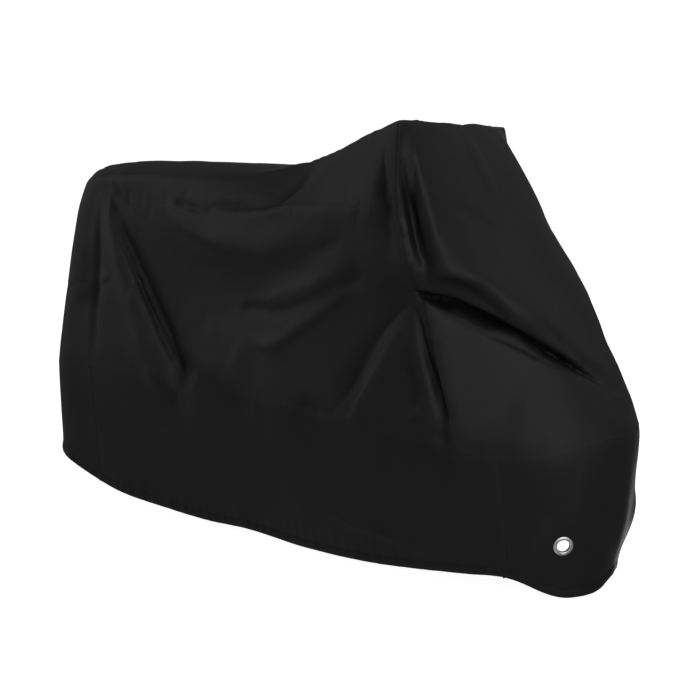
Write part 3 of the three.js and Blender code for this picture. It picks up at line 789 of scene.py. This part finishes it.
def closed_sheet(name, points, normals, faces, painted_fold_shade):
    """A piece with an outer side, an inner side with fewer faces, and a rim."""
    count = len(points)
    both = np.concatenate([points, points - CLOTH * normals])
    rim = border_edges(faces)
    rim_faces = np.stack([rim[:, 1], rim[:, 0], rim[:, 0] + count, rim[:, 1] + count], 1)
    mesh = mesh_of(name, both, np.concatenate([faces, faces[:, ::-1] + count, rim_faces]))
    # the folds' painted shade and painted highlight, on both sides of the cloth
    mesh.attributes.new("painted_fold_shade", "FLOAT", "POINT").data.foreach_set("value", np.tile(painted_fold_shade, 2))
    piece = object_of(name, mesh)
    inner = np.setdiff1d(np.arange(count), np.unique(rim)) + count
    piece.vertex_groups.new(name="inner").add([int(i) for i in inner], 1, "REPLACE")
    fewer = piece.modifiers.new("fewer inner faces", "DECIMATE")
    fewer.ratio = min(1, MOST / (4 * len(faces) + 2 * len(rim)))
    fewer.vertex_group = "inner"
    piece.data = applied(piece)
    piece.modifiers.clear()
    piece.vertex_groups.clear()
    piece.data.name = name
    return piece


def cloth_piece(skin, index, material):
    """Makes one cloth piece, and returns it with its points, ways out and numbers on the skin."""
    name = list(CUTS)[index]
    own, normals, faces, numbers = piece_arrays(skin, index)
    out = outward_of(own, normals, faces)
    lap_over(own, normals, out, faces, skin["highest"][numbers], skin["lowest"][numbers], index)
    piece = closed_sheet("cloth_" + name, own, normals, faces, skin["painted_fold_shade"][numbers])
    finish_piece(piece, name, material)
    return {"piece": piece, "points": own, "out": out, "numbers": numbers}


def owners_at(points, quads, owner):
    """The highest and the lowest piece at each point of the skin."""
    highest = np.full(len(points), -1)
    lowest = np.full(len(points), len(CUTS))
    for k in range(4):
        np.maximum.at(highest, quads[:, k], owner)
        np.minimum.at(lowest, quads[:, k], owner)
    return highest, lowest


# Stitches
def stitch_shape():
    """The points and faces of one stitch: a thread's short arch along X, with +Z up."""
    sides = 5
    stations = [(-0.5, 0.35, -0.5), (-0.4, 0.9, 0.2), (0, 1, 0.7), (0.4, 0.9, 0.2), (0.5, 0.35, -0.5)]
    places, faces = [], []
    for along, thick, up in stations:
        for k in range(sides):
            angle = 2 * math.pi * k / sides
            y = thick * math.cos(angle) * STITCH["radius"]
            z = (up + thick * math.sin(angle)) * STITCH["radius"]
            places.append((along * STITCH["length"], y, z))
    for ring in range(len(stations) - 1):
        for k in range(sides):
            a, b = ring * sides + k, ring * sides + (k + 1) % sides
            faces.append((a, b, b + sides, a + sides))
    return np.array(places), np.array(faces)


def stitch_rows(rows):
    """One mesh of all the stitches: rows hold places, the ways along, and the ways up."""
    shape, shape_faces = stitch_shape()
    places, faces = [], []
    for place, along, up in rows:
        across = np.cross(up, along)
        turn = np.stack([along, across, up], 0)
        faces.append(shape_faces + len(places) * len(shape))
        places.append(place + shape @ turn)
    return np.concatenate(places), np.concatenate(faces)


def row_along(places, out, normals, piece, inset):
    """A row of stitches along a line, drawn in from it by inset and laid on the piece."""
    lengths = arc_lengths(places)
    row = []
    for at in np.arange(STITCH["pitch"] / 2, lengths[-1], STITCH["pitch"]):
        index = min(np.searchsorted(lengths, at, "right") - 1, len(places) - 2)
        t = (at - lengths[index]) / (lengths[index + 1] - lengths[index])
        place, way, normal = (
            (1 - t) * line[index] + t * line[index + 1] for line in (places, out, normals)
        )
        start = place - inset * unit(way) + STITCH["look"] * normal
        _, spot, normal, _ = piece.closest_point_on_mesh(Vector(start))
        along = places[index + 1] - places[index]
        normal = np.array(normal)
        row.append((np.array(spot), unit(along - (along @ normal) * normal), normal))
    return row


def row_places(made, line, skin):
    """A line of skin points, as places on a made piece, with the ways out and the normals there."""
    at = np.searchsorted(made["numbers"], line)
    return made["points"][at], made["out"][at], skin["normals"][line]


def stitch_piece(name, rows, material):
    piece = object_of(name, mesh_of(name, *stitch_rows(rows)))
    finish_piece(piece, None, material)


def add_stitches(cloths, lines, hem, skin, material):
    rows = []
    for line in lines:
        made = cloths[line["over"]]
        for inset in STITCH["insets"]:
            rows += row_along(*row_places(made, line["line"], skin), made["piece"], inset)
    stitch_piece("seam_stitches", rows, material)
    rows = []
    for index, made in enumerate(cloths):
        own = [p for p in hem if skin["highest"][p] == index]
        breaks = [k for k in range(1, len(own)) if abs(hem.index(own[k]) - hem.index(own[k - 1])) > 1]
        for part in np.split(np.array(own, int), breaks):
            if len(part) > 1:
                rows += row_along(*row_places(made, part, skin), made["piece"], HEM["channel"])
    stitch_piece("hem_stitches", rows, material)


# Eyelets
def lathe(profile, steps):
    """The points and faces of a ring: profile is a closed loop of radii and heights."""
    angles = np.linspace(0, 2 * math.pi, steps, endpoint=False)
    radius, height = np.array(profile).T
    places = np.stack([
        np.stack([radius * math.cos(angle), radius * math.sin(angle), height], 1) for angle in angles
    ])
    count = len(profile)
    faces = []
    for turn in range(steps):
        ahead = (turn + 1) % steps * count
        for k in range(count):
            onward = (k + 1) % count
            faces.append((turn * count + k, ahead + k, ahead + onward, turn * count + onward))
    return places.reshape(-1, 3), np.array(faces)


def add_ring(node, profile, material):
    """A finely made ring in the place of a node: on its axis, with its lowest point at the same height."""
    places = read_points(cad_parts[node].data)
    centre, axis = RINGS[node]
    side = unit(np.cross(axis, (0, 0, 1)))
    points, faces = lathe(0.001 * np.array(profile), RING_STEPS)
    base = ((places - centre) @ axis).min() - points[:, 2].min()
    points[:, 2] += base
    turn = np.stack([side, np.cross(axis, side), axis])
    piece = object_of("fine_" + node, mesh_of(node, centre + points @ turn, faces))
    finish_piece(piece, node, material, RING_ANGLE)


# Materials
class Nodes:
    """Adds shader nodes to a new material, and links them."""

    def __init__(self, name):
        self.material = bpy.data.materials.new(name)
        self.material.use_nodes = True
        self.tree = self.material.node_tree
        self.shader = self.tree.nodes["Principled BSDF"]

    def add(self, kind, settings=(), inputs=()):
        node = self.tree.nodes.new("ShaderNode" + kind)
        for key, value in dict(settings).items():
            setattr(node, key, value)
        for key, value in dict(inputs).items():
            self.set(node, key, value)
        return node

    def set(self, node, key, value):
        if isinstance(value, bpy.types.NodeSocket):
            self.tree.links.new(value, node.inputs[key])
        else:
            node.inputs[key].default_value = value

    def math(self, operation, *values):
        return self.add("Math", {"operation": operation}, enumerate(values)).outputs[0]

    def vector(self, operation, *values):
        node = self.add("VectorMath", {"operation": operation}, enumerate(values))
        return node.outputs["Value" if operation == "DOT_PRODUCT" else "Vector"]

    def noise(self, place, scale, detail=2):
        inputs = {"Vector": place, "Scale": scale, "Detail": detail}
        return self.add("TexNoise", inputs=inputs).outputs["Fac"]

    def spread(self, value, span, reached):
        """Takes the values of a span to those of another."""
        keys = ("Value", "From Min", "From Max", "To Min", "To Max")
        return self.add("MapRange", inputs=dict(zip(keys, (value, *span, *reached)))).outputs["Result"]

    def bump(self, height, distance, strength, normal=None):
        inputs = {"Height": height, "Distance": distance, "Strength": strength}
        if normal is not None:
            inputs["Normal"] = normal
        return self.add("Bump", inputs=inputs).outputs["Normal"]


def weave_height(nodes, place):
    """A plain weave's humps, on all sides of the cover."""
    waves = nodes.vector("SINE", nodes.vector("MULTIPLY", place, [2 * math.pi / WEAVE["pitch"]] * 3))
    normal = nodes.add("TexCoord").outputs["Normal"]
    weight = nodes.vector("MULTIPLY", normal, normal)
    parts = nodes.add("SeparateXYZ", inputs={"Vector": waves}).outputs
    crossed = {
        "X": nodes.math("MULTIPLY", parts[1], parts[2]),
        "Y": nodes.math("MULTIPLY", parts[2], parts[0]),
        "Z": nodes.math("MULTIPLY", parts[0], parts[1]),
    }
    return nodes.vector("DOT_PRODUCT", weight, nodes.add("CombineXYZ", inputs=crossed).outputs[0])


def cloth_material():
    nodes = Nodes("coated_polyester")
    place = nodes.add("TexCoord").outputs["Object"]
    patches = nodes.noise(place, 5, 4)
    streaks = nodes.noise(nodes.vector("MULTIPLY", place, (9, 9, 2.2)), 1, 3)
    grain = nodes.noise(place, 900, 2)
    point = nodes.add("NewGeometry").outputs["Pointiness"]
    # painted shade in the folds' troughs and painted highlight on their ridges darken and lighten the colour
    painted_fold_shade = nodes.add("Attribute", {"attribute_name": "painted_fold_shade"}).outputs["Fac"]
    tone = nodes.spread(painted_fold_shade, (-1, 1), CLOTH_LOOK["painted_fold_shade"])
    # painted shade in hollows and painted highlight on ridges, from the mesh's pointiness
    edges = nodes.spread(point, CLOTH_LOOK["pointiness"], CLOTH_LOOK["edges"])
    tone = nodes.math("MULTIPLY", tone, edges)
    for name, values in {"patches": patches, "streaks": streaks, "grain": grain}.items():
        tone = nodes.math("MULTIPLY", tone, nodes.spread(values, MOST_NOISE, CLOTH_LOOK[name]))
    colour = nodes.vector("SCALE", CLOTH_LOOK["colour"])
    nodes.set(colour.node, "Scale", tone)
    both = [2 * value for value in MOST_NOISE]
    rough = nodes.spread(nodes.math("ADD", patches, grain), both, CLOTH_LOOK["roughness"])
    fine = nodes.bump(nodes.noise(place, 60, 3), 0.0006, 0.5)
    normal = nodes.bump(weave_height(nodes, place), WEAVE["height"], WEAVE["strength"], fine)
    for key, value in {"Base Color": colour, "Roughness": rough, "Normal": normal}.items():
        nodes.set(nodes.shader, key, value)
    nodes.shader.inputs["Specular IOR Level"].default_value = CLOTH_LOOK["gloss"]
    nodes.shader.inputs["Sheen Weight"].default_value = CLOTH_LOOK["sheen"]
    nodes.shader.inputs["Sheen Roughness"].default_value = CLOTH_LOOK["sheen_roughness"]
    return nodes.material


def thread_material():
    nodes = Nodes("thread")
    place = nodes.add("TexCoord").outputs["Object"]
    twist = nodes.add("TexWave", inputs={"Vector": place, "Scale": 900, "Distortion": 1}).outputs["Fac"]
    colour = nodes.vector("SCALE", THREAD_LOOK["colour"])
    nodes.set(colour.node, "Scale", nodes.spread(twist, (0, 1), THREAD_LOOK["twist"]))
    nodes.set(nodes.shader, "Base Color", colour)
    nodes.set(nodes.shader, "Normal", nodes.bump(twist, 0.0002, 0.6))
    nodes.shader.inputs["Roughness"].default_value = THREAD_LOOK["roughness"]
    nodes.shader.inputs["Specular IOR Level"].default_value = THREAD_LOOK["gloss"]
    return nodes.material


def steel_material():
    nodes = Nodes("plated_steel")
    place = nodes.add("TexCoord").outputs["Object"]
    smears = nodes.noise(place, 140, 4)
    specks = nodes.noise(place, 900, 2)
    colour = nodes.vector("SCALE", STEEL_LOOK["colour"])
    nodes.set(colour.node, "Scale", nodes.spread(smears, MOST_NOISE, STEEL_LOOK["smears"]))
    nodes.set(nodes.shader, "Base Color", colour)
    nodes.set(nodes.shader, "Roughness", nodes.spread(smears, MOST_NOISE, STEEL_LOOK["roughness"]))
    nodes.set(nodes.shader, "Normal", nodes.bump(specks, 0.0001, 0.4))
    nodes.shader.inputs["Metallic"].default_value = 1
    return nodes.material


# The stage, the lights and the camera
def direction(azimuth, elevation):
    """The way from the cover to something, azimuth degrees from its right side to its front."""
    a, e = math.radians(azimuth), math.radians(elevation)
    return Vector((math.cos(e) * math.sin(a), -math.cos(e) * math.cos(a), math.sin(e)))


def pale_material(name, strength):
    nodes = Nodes(name)
    place = nodes.add("TexCoord").outputs["Object"]
    tone = nodes.spread(nodes.noise(place, 3, 2), MOST_NOISE, (0.98, 1))
    colour = nodes.vector("SCALE", (0.9, 0.9, 0.9))
    nodes.set(colour.node, "Scale", tone)
    nodes.set(nodes.shader, "Base Color", colour)
    nodes.set(nodes.shader, "Emission Color", colour)
    nodes.shader.inputs["Emission Strength"].default_value = strength
    nodes.shader.inputs["Specular IOR Level"].default_value = 0
    return nodes.material


def add_stage(z):
    """A pale floor and a pale dome round it. They light nothing: that is left to the lights."""
    corners = STAGE["radius"] * np.array([(-1, -1, 0), (1, -1, 0), (1, 1, 0), (-1, 1, 0)]) + [0, 0, z]
    floor = object_of("floor", mesh_of("floor", corners, np.array([[0, 1, 2, 3]])))
    floor.data.materials.append(pale_material("pale_floor", STAGE["floor"]))
    shell = bmesh.new()
    bmesh.ops.create_icosphere(shell, subdivisions=4, radius=STAGE["radius"])
    mesh = bpy.data.meshes.new("dome")
    shell.to_mesh(mesh)
    shell.free()
    mesh.materials.append(pale_material("pale_dome", STAGE["dome"]))
    for thing in (floor, object_of("dome", mesh)):
        thing.visible_diffuse = False
        thing.visible_glossy = False
        thing.visible_shadow = False


def add_lights():
    world = bpy.data.worlds.new("studio")
    world.use_nodes = True
    world.node_tree.nodes["Background"].inputs["Color"].default_value = (1, 1, 1, 1)
    world.node_tree.nodes["Background"].inputs["Strength"].default_value = STAGE["world"]
    bpy.context.scene.world = world
    for name, azimuth, elevation, size, power in LIGHTS:
        away = direction(azimuth, elevation)
        lamp = bpy.data.lights.new(name, "AREA")
        lamp.shape = "DISK"
        lamp.size = size
        lamp.energy = power
        light = bpy.data.objects.new(name, lamp)
        light.location = Vector(STAGE["middle"]) + STAGE["lights"] * away
        light.rotation_euler = (-away).to_track_quat("-Z", "Y").to_euler()
        light.visible_camera = False
        bpy.context.scene.collection.objects.link(light)


def add_camera():
    away = direction(CAMERA["azimuth"], CAMERA["elevation"])
    camera = bpy.data.objects.new("camera", bpy.data.cameras.new("camera"))
    camera.data.sensor_width = SENSOR
    camera.data.lens = CAMERA["focal"] * SENSOR
    camera.location = Vector(CAMERA["target"]) + CAMERA["distance"] * away
    camera.rotation_euler = (-away).to_track_quat("-Z", "Y").to_euler()
    bpy.context.scene.collection.objects.link(camera)
    bpy.context.scene.camera = camera


RINGS = {kind + side: ring_axis(kind + side) for kind in ("eyelet_", "washer_") for side in ("right", "left")}
points, quads, owner = smooth_skin(skin_mesh())
points = raised_at_the_bars(points)
# the folds, and their painted shade and painted highlight
points, painted_fold_shade = add_creases(points, quads)
points = add_unevenness(points, quads)
seams, border = edge_table(quads, owner)
lines = seam_lines(seams, points)
hem = max(chains(border), key=len)
points = add_hem(points, quads, hem)
points = add_puckers(points, quads, lines)
highest, lowest = owners_at(points, quads, owner)
skin = {
    "points": points, "normals": point_normals(points, quads), "quads": quads, "owner": owner,
    "highest": highest, "lowest": lowest, "painted_fold_shade": painted_fold_shade,
}

cloth, thread, steel = cloth_material(), thread_material(), steel_material()
cloths = [cloth_piece(skin, index, cloth) for index in range(len(CUTS))]
add_stitches(cloths, lines, hem, skin, thread)
for name in RINGS:
    add_ring(name, EYELET if name.startswith("eyelet") else WASHER, steel)

add_stage(cad_box[0][2] - STAGE["below"])
add_lights()
add_camera()
bpy.context.scene.view_settings.view_transform = "Standard"
